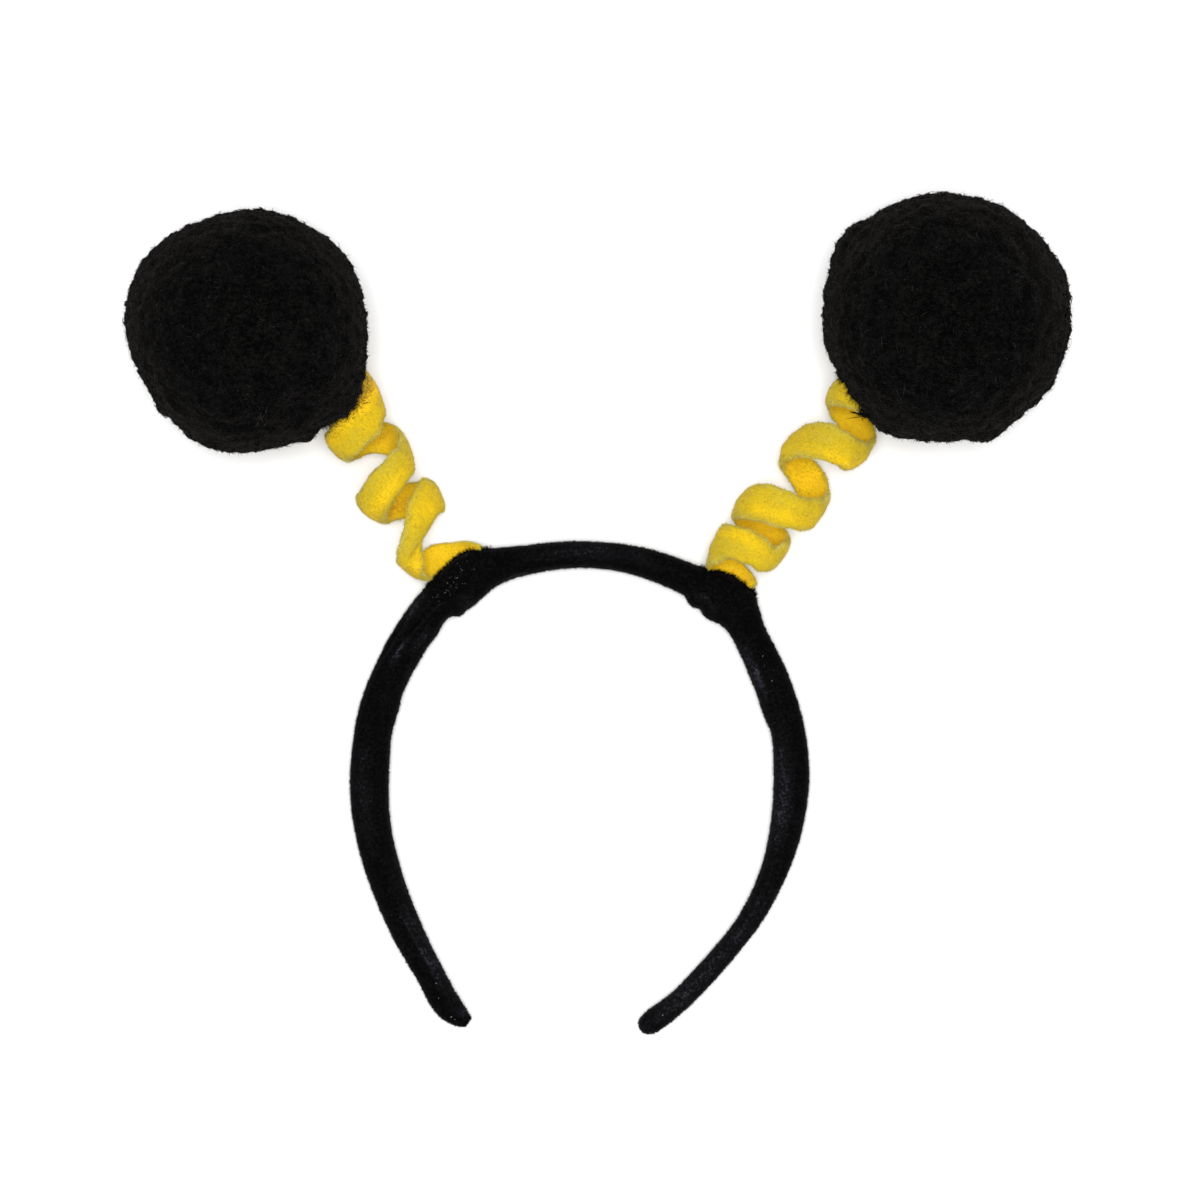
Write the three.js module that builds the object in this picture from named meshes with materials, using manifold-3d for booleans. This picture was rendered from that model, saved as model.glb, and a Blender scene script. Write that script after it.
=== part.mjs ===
// Head bopper: a velvet headband with two coiled velour strips, each carrying a plush ball.
// It lies on its side on a flat surface. Units are millimetres.
// X runs across the headband, Y from its tips to its crown, and Z up from the surface.
import * as THREE from 'three';
import Module from 'manifold-3d';
import { mergeVertices } from 'three/addons/utils/BufferGeometryUtils.js';

const wasm = await Module();
wasm.setup();

// Driving dimensions
const POCKET_GAP = 0.3; // clearance round a strip's end in the pocket that holds it
const BAND_MIDDLE = 5.2; // height of the sleeve's middle line, low enough to press its underside flat
const BAND_FULLNESS = 0.72; // power on a section's sine and cosine, under 1 squares the section up
const STRIP_THICK = 2.6;
const STRIP_BOW = 0.8; // how far the strip's middle stands out from its two edges
const STRIP_FULLNESS = 0.7; // as for the sleeve, so that the strip is flat with rounded edges
const LOCK_COUNT = 190; // tufts on each ball
const LOCK_RISE = 3.0; // height of the tallest tuft above the ball's head
const LOCK_LOWEST = 0.5; // height of the lowest tuft as a share of the tallest
const LOCK_REACH = 0.17; // half width of a tuft, in radians at the ball's centre

// Facets
const BAND_STEPS = 110;
const BAND_SIDES = 12;
const STEPS_PER_TURN = 22;
const STRIP_SIDES = 10;
const BALL_DETAIL = 10;
const HEADING_STEP = 0.05; // how far each way along a table its path's heading is measured

// Headband: a row for each section, from the right tip over the crown to the left tip.
// x and y place its centre from the middle of the head's hollow, thick is its depth from
// the inside of the band to the outside, and tall is its height off the surface.
const BAND_SECTIONS = [
  { x: 16.6, y: -65.4, thick: 2.4, tall: 5.0 },
  { x: 17.8, y: -64.4, thick: 5.6, tall: 8.5 },
  { x: 20.6, y: -62.3, thick: 6.8, tall: 10.0 },
  { x: 28.3, y: -56.1, thick: 6.2, tall: 11.0 },
  { x: 38.7, y: -45.0, thick: 6.2, tall: 11.6 },
  { x: 46.6, y: -34.5, thick: 6.6, tall: 12.0 },
  { x: 52.4, y: -22.8, thick: 7.3, tall: 12.0 },
  { x: 56.1, y: -10.3, thick: 9.0, tall: 12.0 },
  { x: 57.5, y: 3.0, thick: 9.9, tall: 12.0 },
  { x: 56.4, y: 17.0, thick: 9.5, tall: 12.0 },
  { x: 52.0, y: 29.8, thick: 10.3, tall: 12.0 },
  { x: 46.2, y: 42.0, thick: 9.6, tall: 12.2 },
  { x: 42.7, y: 48.6, thick: 12.2, tall: 12.8 },
  { x: 38.2, y: 52.4, thick: 13.4, tall: 13.2 },
  { x: 33.0, y: 55.4, thick: 10.2, tall: 12.8 },
  { x: 26.0, y: 58.7, thick: 8.7, tall: 12.2 },
  { x: 13.5, y: 62.7, thick: 8.1, tall: 12.0 },
  { x: 0.0, y: 64.0, thick: 7.6, tall: 12.0 },
  { x: -14.2, y: 62.6, thick: 8.3, tall: 12.0 },
  { x: -22.7, y: 60.9, thick: 10.3, tall: 12.6 },
  { x: -28.8, y: 58.7, thick: 13.0, tall: 13.2 },
  { x: -34.5, y: 54.3, thick: 12.4, tall: 13.2 },
  { x: -40.0, y: 49.9, thick: 10.4, tall: 12.6 },
  { x: -46.0, y: 41.3, thick: 10.6, tall: 12.2 },
  { x: -52.0, y: 29.8, thick: 10.2, tall: 12.0 },
  { x: -55.8, y: 18.6, thick: 10.3, tall: 12.0 },
  { x: -57.3, y: 4.0, thick: 10.9, tall: 12.0 },
  { x: -56.5, y: -9.6, thick: 10.3, tall: 12.0 },
  { x: -53.3, y: -22.8, thick: 9.6, tall: 12.0 },
  { x: -47.9, y: -36.5, thick: 8.9, tall: 11.8 },
  { x: -40.9, y: -50.0, thick: 7.9, tall: 11.2 },
  { x: -36.6, y: -57.8, thick: 8.0, tall: 10.4 },
  { x: -33.2, y: -61.3, thick: 6.4, tall: 9.0 },
  { x: -30.4, y: -63.2, thick: 3.6, tall: 5.0 },
];

// Gathers of the sleeve: a row for each fold, at a place counted in rows of the table above.
// side is 1 on the inside of the band and -1 on the outside, and span is the fold's half length in rows.
const BAND_FOLDS = [
  { at: 9.4, side: 1, rise: 0.6, span: 0.5 },
  { at: 12.2, side: -1, rise: 0.9, span: 0.5 },
  { at: 13.1, side: 1, rise: 0.3, span: 0.6 },
  { at: 14.0, side: 1, rise: 1.1, span: 0.45 },
  { at: 20.8, side: 1, rise: 0.5, span: 0.7 },
  { at: 21.4, side: 1, rise: 0.9, span: 0.4 },
  { at: 22.6, side: 1, rise: 0.5, span: 0.45 },
  { at: 24.7, side: 1, rise: 0.6, span: 0.6 },
];

// Coils: an axis from its top in the ball to its foot on the band, with the turns at which the strip
// starts and ends, and a row at each half turn and wherever the strip swerves between them.
// A whole turn is on the right of the axis, a quarter turn above it and a half turn on its left.
// along is the distance down the axis and out the distance from it, both to the strip's middle.
// lean is the angle in degrees by which the strip's lower edge tips in towards the axis,
// and wide is the strip's width, more where it spreads flat and less where it crumples in a twist.
const COILS = [
  {
    side: 'left',
    top: new THREE.Vector3(-66.6, 109.35, 19),
    foot: new THREE.Vector3(-35.3, 60.4, 11.5),
    first: -0.35,
    last: 2.93,
    windings: [
      { turn: -0.5, along: -2.0, out: 8.5, lean: 0, wide: 9.6 },
      { turn: 0.0, along: 7.0, out: 8.0, lean: 12, wide: 10.8 },
      { turn: 0.25, along: 11.8, out: 8.5, lean: 2, wide: 12.0 },
      { turn: 0.4, along: 14.2, out: 8.5, lean: 4, wide: 9.8 },
      { turn: 0.5, along: 14.8, out: 7.7, lean: 6, wide: 9.6 },
      { turn: 0.75, along: 17.9, out: 8.4, lean: 28, wide: 9.4 },
      { turn: 1.0, along: 25.4, out: 6.4, lean: 12, wide: 8.4 },
      { turn: 1.25, along: 28.4, out: 8.6, lean: 8, wide: 9.4 },
      { turn: 1.5, along: 34.1, out: 9.4, lean: 20, wide: 9.6 },
      { turn: 2.0, along: 40.0, out: 7.1, lean: 6, wide: 9.4 },
      { turn: 2.15, along: 39.6, out: 7.6, lean: 14, wide: 11.4 },
      { turn: 2.35, along: 46.4, out: 8.0, lean: 54, wide: 7.0 },
      { turn: 2.5, along: 52.8, out: 8.6, lean: 30, wide: 8.2 },
      { turn: 2.75, along: 57.1, out: 8.6, lean: 16, wide: 9.2 },
      { turn: 3.0, along: 63.2, out: 9.8, lean: 8, wide: 7.6 },
    ],
  },
  {
    side: 'right',
    top: new THREE.Vector3(82.3, 110.9, 19),
    foot: new THREE.Vector3(38.1, 58.6, 11.5),
    first: 0.05,
    last: 3.92,
    windings: [
      { turn: 0.0, along: 1.0, out: 8.6, lean: 6, wide: 9.6 },
      { turn: 0.5, along: 10.9, out: 8.1, lean: 10, wide: 8.4 },
      { turn: 0.75, along: 14.0, out: 8.4, lean: 6, wide: 9.6 },
      { turn: 1.0, along: 19.8, out: 7.7, lean: 0, wide: 9.2 },
      { turn: 1.25, along: 22.0, out: 8.3, lean: 2, wide: 10.0 },
      { turn: 1.41, along: 26.4, out: 7.1, lean: 10, wide: 9.8 },
      { turn: 1.5, along: 30.2, out: 7.7, lean: 18, wide: 8.8 },
      { turn: 1.75, along: 34.2, out: 8.6, lean: 10, wide: 9.4 },
      { turn: 2.0, along: 39.2, out: 8.8, lean: -10, wide: 9.4 },
      { turn: 2.3, along: 45.4, out: 8.2, lean: 8, wide: 10.6 },
      { turn: 2.5, along: 50.5, out: 7.6, lean: 10, wide: 9.0 },
      { turn: 3.0, along: 54.9, out: 8.3, lean: -8, wide: 9.4 },
      { turn: 3.1, along: 57.3, out: 8.2, lean: -2, wide: 7.6 },
      { turn: 3.2, along: 57.5, out: 7.6, lean: 6, wide: 9.6 },
      { turn: 3.3, along: 59.0, out: 6.9, lean: 14, wide: 10.0 },
      { turn: 3.5, along: 63.6, out: 5.2, lean: 24, wide: 9.6 },
      { turn: 4.0, along: 70.4, out: 9.8, lean: 0, wide: 10.6 },
    ],
  },
];

// Balls: place and size, and a row for each dent, with its direction in degrees round the
// ball from +X and up from level, its depth, and its half width in degrees. A bulge has a depth under 0.
const POMPOMS = [
  {
    side: 'left',
    centre: new THREE.Vector3(-88.8, 123.3, 32.9),
    radius: 33.7,
    seed: 11,
    dents: [
      { round: 5, up: 0, depth: 0.6, wide: 26 },
      { round: 40, up: 5, depth: -0.6, wide: 22 },
      { round: 108, up: 0, depth: 0.8, wide: 26 },
      { round: 150, up: 5, depth: -1.0, wide: 22 },
      { round: 212, up: 0, depth: 2.4, wide: 40 },
      { round: 221, up: 0, depth: -1.2, wide: 10 },
      { round: 282, up: 0, depth: 0.8, wide: 20 },
      { round: 301, up: 0, depth: -0.8, wide: 9 },
      { round: 305, up: 38, depth: 2.0, wide: 14 },
      { round: 324, up: 0, depth: -2.4, wide: 18 },
      { round: 340, up: 0, depth: -0.9, wide: 10 },
    ],
  },
  {
    side: 'right',
    centre: new THREE.Vector3(97.7, 127.0, 33.5),
    radius: 34.3,
    seed: 47,
    dents: [
      { round: 40, up: 45, depth: 1.2, wide: 20 },
      { round: 20, up: 0, depth: -0.9, wide: 13 },
      { round: 45, up: 0, depth: 0.9, wide: 20 },
      { round: 80, up: 0, depth: 1.7, wide: 12 },
      { round: 142, up: 0, depth: -2.2, wide: 21 },
      { round: 180, up: 0, depth: 1.1, wide: 14 },
      { round: 212, up: 0, depth: 1.2, wide: 22 },
      { round: 242, up: 0, depth: -1.6, wide: 18 },
      { round: 270, up: 10, depth: 1.0, wide: 12 },
      { round: 290, up: 0, depth: -2.0, wide: 12 },
      { round: 310, up: 0, depth: 0.7, wide: 8 },
      { round: 326, up: 0, depth: -0.7, wide: 9 },
    ],
  },
];

const VELVET = new THREE.MeshStandardMaterial({ color: 0x0d0d0e, roughness: 0.9, metalness: 0 });
const VELOUR = new THREE.MeshStandardMaterial({ color: 0xe2bd22, roughness: 0.85, metalness: 0 });
const PLUSH = new THREE.MeshStandardMaterial({ color: 0x0f0e0d, roughness: 0.95, metalness: 0 });

const UP = new THREE.Vector3(0, 0, 1);

// Reads a table at any place between its rows, with every column on a smooth curve.
function smoothTable(rows, key) {
  const names = Object.keys(rows[0]).filter((name) => name !== key);
  const places = rows.map((row) => row[key]);
  const values = rows.flatMap((row) => names.map((name) => row[name]));
  const curve = new THREE.CubicInterpolant(places, values, names.length);
  return (place) => {
    const found = curve.evaluate(place);
    return Object.fromEntries(names.map((name, column) => [name, found[column]]));
  };
}

// Extrudes a section straight, then carries each of its points to its place along a path.
function sweep(section, steps, placePoint) {
  const geometry = new THREE.ExtrudeGeometry(section, { steps, depth: 1, bevelEnabled: false });
  const position = geometry.getAttribute('position');
  for (let index = 0; index < position.count; index += 1) {
    const placed = placePoint(position.getX(index), position.getY(index), position.getZ(index));
    position.setXYZ(index, placed.x, placed.y, placed.z);
  }
  return geometry;
}

function solidOf(geometry) {
  geometry.deleteAttribute('normal');
  geometry.deleteAttribute('uv');
  const merged = mergeVertices(geometry);
  const vertProperties = new Float32Array(merged.getAttribute('position').array);
  const triVerts = new Uint32Array(merged.getIndex().array);
  return new wasm.Manifold(new wasm.Mesh({ numProp: 3, vertProperties, triVerts }));
}

function meshOf(name, solid, material) {
  const { vertProperties, triVerts } = solid.getMesh();
  const geometry = new THREE.BufferGeometry();
  geometry.setAttribute('position', new THREE.BufferAttribute(vertProperties, 3));
  geometry.setIndex(new THREE.BufferAttribute(triVerts, 1));
  geometry.computeVertexNormals();
  const mesh = new THREE.Mesh(geometry, material);
  mesh.name = name;
  return mesh;
}

function squared(value, power) {
  return Math.sign(value) * Math.abs(value) ** power;
}

// A soft hill, 1 at its middle and 0 past its half width.
function hill(distance, halfWidth) {
  const share = Math.min(Math.abs(distance) / halfWidth, 1);
  return (1 - share * share) ** 2;
}

// The headband's sleeve: a squared oval that follows its tables and is flat where it rests.
function headband() {
  const last = BAND_SECTIONS.length - 1;
  const sectionAt = smoothTable(BAND_SECTIONS.map((row, index) => ({ at: index, ...row })), 'at');
  const outline = new THREE.Shape(Array.from({ length: BAND_SIDES }, (_, index) => {
    const angle = ((index + 0.5) / BAND_SIDES) * 2 * Math.PI;
    return new THREE.Vector2(
      squared(Math.cos(angle), BAND_FULLNESS) / 2,
      squared(Math.sin(angle), BAND_FULLNESS) / 2,
    );
  }));
  return solidOf(sweep(outline, BAND_STEPS, (inPart, upPart, run) => {
    const at = run * last;
    const here = sectionAt(at);
    const before = sectionAt(Math.max(at - HEADING_STEP, 0));
    const after = sectionAt(Math.min(at + HEADING_STEP, last));
    const heading = new THREE.Vector3(after.x - before.x, after.y - before.y, 0).normalize();
    const inward = new THREE.Vector3().crossVectors(UP, heading);
    const gathered = BAND_FOLDS.reduce((sum, fold) => (
      sum + 2 * Math.max(inPart * fold.side, 0) * fold.side * fold.rise * hill(at - fold.at, fold.span)
    ), 0);
    const place = new THREE.Vector3(here.x, here.y, 0);
    place.addScaledVector(inward, inPart * here.thick + gathered);
    place.z = Math.max(BAND_MIDDLE + upPart * here.tall, 0);
    return place;
  }));
}

// One strip wound on its axis. Clearance swells it into the cutter for its pockets.
function coil(row, clearance) {
  const axis = row.foot.clone().sub(row.top).normalize();
  const side = new THREE.Vector3().crossVectors(UP, axis).normalize();
  const rise = new THREE.Vector3().crossVectors(axis, side);
  const windingAt = smoothTable(row.windings, 'turn');
  const radialAt = (turn) => {
    const angle = turn * 2 * Math.PI;
    return side.clone().multiplyScalar(Math.cos(angle)).addScaledVector(rise, Math.sin(angle));
  };
  const middleAt = (turn) => {
    const { along, out } = windingAt(turn);
    return row.top.clone().addScaledVector(axis, along).addScaledVector(radialAt(turn), out);
  };
  const section = new THREE.Shape(Array.from({ length: STRIP_SIDES }, (_, index) => {
    const angle = (index / STRIP_SIDES) * 2 * Math.PI;
    const acrossShare = squared(Math.cos(angle), STRIP_FULLNESS);
    const outShare = squared(Math.sin(angle), STRIP_FULLNESS);
    const bow = STRIP_BOW * (1 - acrossShare ** 2);
    return new THREE.Vector2(acrossShare / 2, (STRIP_THICK / 2 + clearance) * outShare + bow);
  }));
  const turnLength = 2 * Math.PI * row.windings[0].out;
  const first = row.first - clearance / turnLength;
  const last = row.last + clearance / turnLength;
  const steps = Math.round((row.last - row.first) * STEPS_PER_TURN);
  return solidOf(sweep(section, steps, (acrossShare, outPart, run) => {
    const turn = first + run * (last - first);
    const { lean, wide } = windingAt(turn);
    const heading = middleAt(turn + HEADING_STEP).sub(middleAt(turn - HEADING_STEP)).normalize();
    const across = new THREE.Vector3().crossVectors(radialAt(turn), heading).normalize();
    const outward = new THREE.Vector3().crossVectors(heading, across);
    const tip = -THREE.MathUtils.degToRad(lean);
    across.applyAxisAngle(heading, tip);
    outward.applyAxisAngle(heading, tip);
    const acrossPart = acrossShare * (wide + 2 * clearance);
    return middleAt(turn).addScaledVector(across, acrossPart).addScaledVector(outward, outPart);
  }));
}

// The unit direction at an angle round from +X and a height between -1 and 1.
function directionAt(round, height) {
  const level = Math.sqrt(1 - height * height);
  return new THREE.Vector3(level * Math.cos(round), level * Math.sin(round), height);
}

// A round head with tufts all over, fused by keeping whichever stands out furthest.
function pompom(row) {
  THREE.MathUtils.seededRandom(row.seed);
  const goldenAngle = Math.PI * (3 - Math.sqrt(5));
  const locks = Array.from({ length: LOCK_COUNT }, (_, index) => {
    const wander = () => (THREE.MathUtils.seededRandom() - 0.5) * LOCK_REACH;
    const direction = directionAt(index * goldenAngle, 1 - (2 * index + 1) / LOCK_COUNT);
    direction.add(new THREE.Vector3(wander(), wander(), wander())).normalize();
    const share = THREE.MathUtils.lerp(LOCK_LOWEST, 1, THREE.MathUtils.seededRandom());
    return { direction, rise: LOCK_RISE * share };
  });
  const dents = row.dents.map((dent) => {
    const height = Math.sin(THREE.MathUtils.degToRad(dent.up));
    const direction = directionAt(THREE.MathUtils.degToRad(dent.round), height);
    return { direction, depth: dent.depth, halfWidth: THREE.MathUtils.degToRad(dent.wide) };
  });
  const geometry = new THREE.IcosahedronGeometry(1, BALL_DETAIL);
  const position = geometry.getAttribute('position');
  for (let index = 0; index < position.count; index += 1) {
    const direction = new THREE.Vector3().fromBufferAttribute(position, index).normalize();
    const tuft = Math.max(...locks.map((lock) => (
      lock.rise * hill(direction.angleTo(lock.direction), LOCK_REACH)
    )));
    const sunk = dents.reduce((sum, dent) => (
      sum + dent.depth * hill(direction.angleTo(dent.direction), dent.halfWidth)
    ), 0);
    const place = direction.multiplyScalar(row.radius - LOCK_RISE + tuft - sunk).add(row.centre);
    position.setXYZ(index, place.x, place.y, Math.max(place.z, 0));
  }
  return solidOf(geometry);
}

const bopper = new THREE.Group();
let band = headband();
for (const [index, row] of COILS.entries()) {
  const pocket = coil(row, POCKET_GAP);
  band = band.subtract(pocket);
  bopper.add(meshOf(`coil_${row.side}`, coil(row, 0), VELOUR));
  bopper.add(meshOf(`pompom_${row.side}`, pompom(POMPOMS[index]).subtract(pocket), PLUSH));
}
bopper.add(meshOf('headband', band, VELVET));

// The origin is under the middle of the whole object, on the surface it lies on.
const box = new THREE.Box3().setFromObject(bopper);
const middle = box.getCenter(new THREE.Vector3());
bopper.position.set(-middle.x, -middle.y, -box.min.z);

export default bopper;
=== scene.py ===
"""Looks of a head bopper that lies on a pale floor: a velvet headband, velour coils and plush balls."""
import math
from dataclasses import dataclass, replace

import bmesh
import bpy
import numpy as np
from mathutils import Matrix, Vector
from mathutils.kdtree import KDTree


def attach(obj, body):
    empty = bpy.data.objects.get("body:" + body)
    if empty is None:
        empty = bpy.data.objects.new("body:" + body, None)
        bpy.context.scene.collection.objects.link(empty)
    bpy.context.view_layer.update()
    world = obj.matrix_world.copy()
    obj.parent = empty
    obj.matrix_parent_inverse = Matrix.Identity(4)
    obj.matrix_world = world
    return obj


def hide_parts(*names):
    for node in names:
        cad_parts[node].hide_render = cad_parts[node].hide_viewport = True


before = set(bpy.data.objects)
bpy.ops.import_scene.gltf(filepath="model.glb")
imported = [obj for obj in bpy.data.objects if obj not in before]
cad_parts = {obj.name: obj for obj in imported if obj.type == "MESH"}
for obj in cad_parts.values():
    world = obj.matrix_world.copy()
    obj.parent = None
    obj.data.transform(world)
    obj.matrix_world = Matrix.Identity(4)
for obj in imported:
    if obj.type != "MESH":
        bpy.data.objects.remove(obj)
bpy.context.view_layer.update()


@dataclass
class Pile:
    """Fibres of one kind: how many, least and most length and width, rings of points, and sway."""
    count: int
    length: tuple
    width: tuple
    rings: int = 1
    sway: float = 0.0


@dataclass
class Cloth:
    """A cloth's colours by tone, scales and swings of its mottling, its grain and its shader's constants.

    A knit has its spacings along and across the cloth, and how far its dots shift the tone.
    """
    colours: list
    mottles: list
    grain_scale: float
    grain_depth: float
    roughness: tuple
    constants: dict
    knit: tuple = ()


# Shapes are in millimetres from the middle of the head's hollow, as the tables are.
MM = 0.001
HOLLOW = np.array([-4.809, -46.746, 0.0])  # that middle's place in the frame
UP = np.array([0.0, 0.0, 1.0])

# Photograph: it looks straight down at the object
PHOTO_SIDE = 1200  # pixels
PHOTO_HOLLOW = (580, 790)  # pixel over the middle of the head's hollow
BAND_WIDTH, BAND_WIDTH_PX = 125.0, 460
PIXEL = BAND_WIDTH / BAND_WIDTH_PX  # millimetres at the band's height
SCALE_HEIGHT = 6.5  # height at which that scale holds
CAMERA_HEIGHT = 1500.0
SENSOR = 36.0  # width of the camera's sensor

# Headband: place along it counted in rows, centre, depth from inside to outside, and height
BAND_SECTIONS = [
    (0, 16.6, -65.4, 2.4, 5.0),
    (1, 17.8, -64.4, 5.6, 8.5),
    (2, 20.6, -62.3, 6.8, 10.0),
    (3, 28.3, -56.1, 6.2, 11.0),
    (4, 38.7, -45.0, 6.2, 11.6),
    (5, 46.6, -34.5, 6.6, 12.0),
    (6, 52.4, -22.8, 7.3, 12.0),
    (7, 56.1, -10.3, 9.0, 12.0),
    (8, 57.5, 3.0, 9.9, 12.0),
    (9, 56.4, 17.0, 9.5, 12.0),
    (10, 52.0, 29.8, 10.3, 12.0),
    (11, 46.2, 42.0, 9.6, 12.2),
    (12, 42.7, 48.6, 12.2, 12.8),
    (13, 38.2, 52.4, 13.4, 13.2),
    (14, 33.0, 55.4, 10.2, 12.8),
    (15, 26.0, 58.7, 8.7, 12.2),
    (16, 13.5, 62.7, 8.1, 12.0),
    (17, 0.0, 64.0, 7.6, 12.0),
    (18, -14.2, 62.6, 8.3, 12.0),
    (19, -22.7, 60.9, 10.3, 12.6),
    (20, -28.8, 58.7, 13.0, 13.2),
    (21, -34.5, 54.3, 12.4, 13.2),
    (22, -40.0, 49.9, 10.4, 12.6),
    (23, -46.0, 41.3, 10.6, 12.2),
    (24, -52.0, 29.8, 10.2, 12.0),
    (25, -55.8, 18.6, 10.3, 12.0),
    (26, -57.3, 4.0, 10.9, 12.0),
    (27, -56.5, -9.6, 10.3, 12.0),
    (28, -53.3, -22.8, 9.6, 12.0),
    (29, -47.9, -36.5, 8.9, 11.8),
    (30, -40.9, -50.0, 7.9, 11.2),
    (31, -36.6, -57.8, 8.0, 10.4),
    (32, -33.2, -61.3, 6.4, 9.0),
    (33, -30.4, -63.2, 3.6, 5.0),
]
BAND_MIDDLE = 5.2  # height of the sleeve's middle line
BAND_FULLNESS = 0.72  # power on a section's sine and cosine, under 1 squares the section up
BAND_STEPS, BAND_SIDES = 460, 80
OUTLINE_FINENESS = 40  # points along its section that are tried for each side
BAND_UNDERSIDE = 0.35  # how closely its sides are set below, as a share of how closely above
BAND_WAVES = [(0.12, 24.0), (0.05, 7.0)]  # height and length of the cloth's slight waves
BAND_STAND = 0.25  # how far the nap stands off its backing
BAND_SEED = 3

# Gathers of the sleeve: place in rows, side (1 inside, -1 outside), rise, half length in rows
BAND_FOLDS = [
    (9.4, 1, 0.6, 0.5),
    (12.2, -1, 0.9, 0.5),
    (13.1, 1, 0.3, 0.6),
    (14.0, 1, 1.1, 0.45),
    (20.8, 1, 0.5, 0.7),
    (21.4, 1, 0.9, 0.4),
    (22.6, 1, 0.5, 0.45),
    (24.7, 1, 0.6, 0.6),
]

# Creases of the sleeve: depth, half width, and a path of places along the band in rows
# and across it from -1 outside to 1 inside. A ridge has a depth under 0.
BAND_CREASES = [
    (0.9, 1.0, [(21.4, 0.1), (22.7, -0.13), (23.2, -0.39), (23.9, -0.6)]),
    (0.6, 0.9, [(22.3, -0.7), (23.0, -0.75), (23.9, -0.88)]),
    (-0.4, 1.2, [(21.8, -0.3), (22.7, -0.45), (23.4, -0.65)]),
    (0.6, 0.9, [(23.2, 0.4), (24.0, 0.65), (24.6, 0.85)]),
    (0.5, 0.6, [(28.6, -0.08), (29.4, 0.05), (30.6, 0.22)]),
    (0.3, 0.8, [(4.4, -0.22), (5.3, -0.1), (6.3, 0.02)]),
    (0.5, 1.0, [(9.0, 0.7), (9.8, 0.5), (10.9, 0.3)]),
    (0.6, 1.0, [(12.9, 0.5), (13.5, 0.2), (14.3, 0.4)]),
]

CREASE_RIM = 0.9  # how far inside a crease its edge catches the light

# Places where the nap catches the light: along the band in rows, across it as for the creases,
# half length in rows, half width across, and how strongly
NAP_LIGHTS = [
    (0.8, 0.1, 1.6, 1.3, 0.7),
    (3.6, 0.2, 3.6, 1.5, 0.85),
    (7.6, 0.5, 2.4, 0.9, 0.9),
    (10.3, 0.7, 1.1, 0.6, 0.75),
    (12.9, 0.55, 0.4, 0.35, 0.4),
    (13.7, 0.45, 0.4, 0.35, 0.3),
    (16.8, -0.3, 2.0, 0.9, 0.7),
    (18.4, 0.95, 1.0, 0.35, 0.8),
    (20.9, 0.75, 0.5, 0.5, 0.6),
    (22.3, -0.75, 0.8, 0.35, 1.0),
    (22.9, 0.5, 0.6, 0.4, 0.7),
    (23.4, -0.2, 0.5, 0.4, 0.7),
    (26.5, -0.3, 1.8, 0.7, 0.5),
    (29.8, 0.6, 2.8, 0.8, 0.75),
    (32.2, 0.6, 1.0, 0.8, 0.9),
]

# Specks of lint on the sleeve, at pixels of the photograph: single ones, and a slanting cluster's middle,
# its spread along and across its slant, and its count
LINT = [(437, 982), (439, 996), (452, 1016), (455, 1018), (663, 1014), (762, 655), (771, 681)]
LINT_CLUSTER, LINT_SPREAD, LINT_COUNT = (455, 583), (15, 5.5), 190
LINT_SLANT = math.radians(-45)  # from the photograph's width, with down positive
LINT_FACING = 0.3  # least upward part of the sleeve's normal where lint lies
LINT_LIFT = 0.35  # how far it lies off the backing
SPECK_FIBRES = 3  # fibres in a single speck

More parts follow.
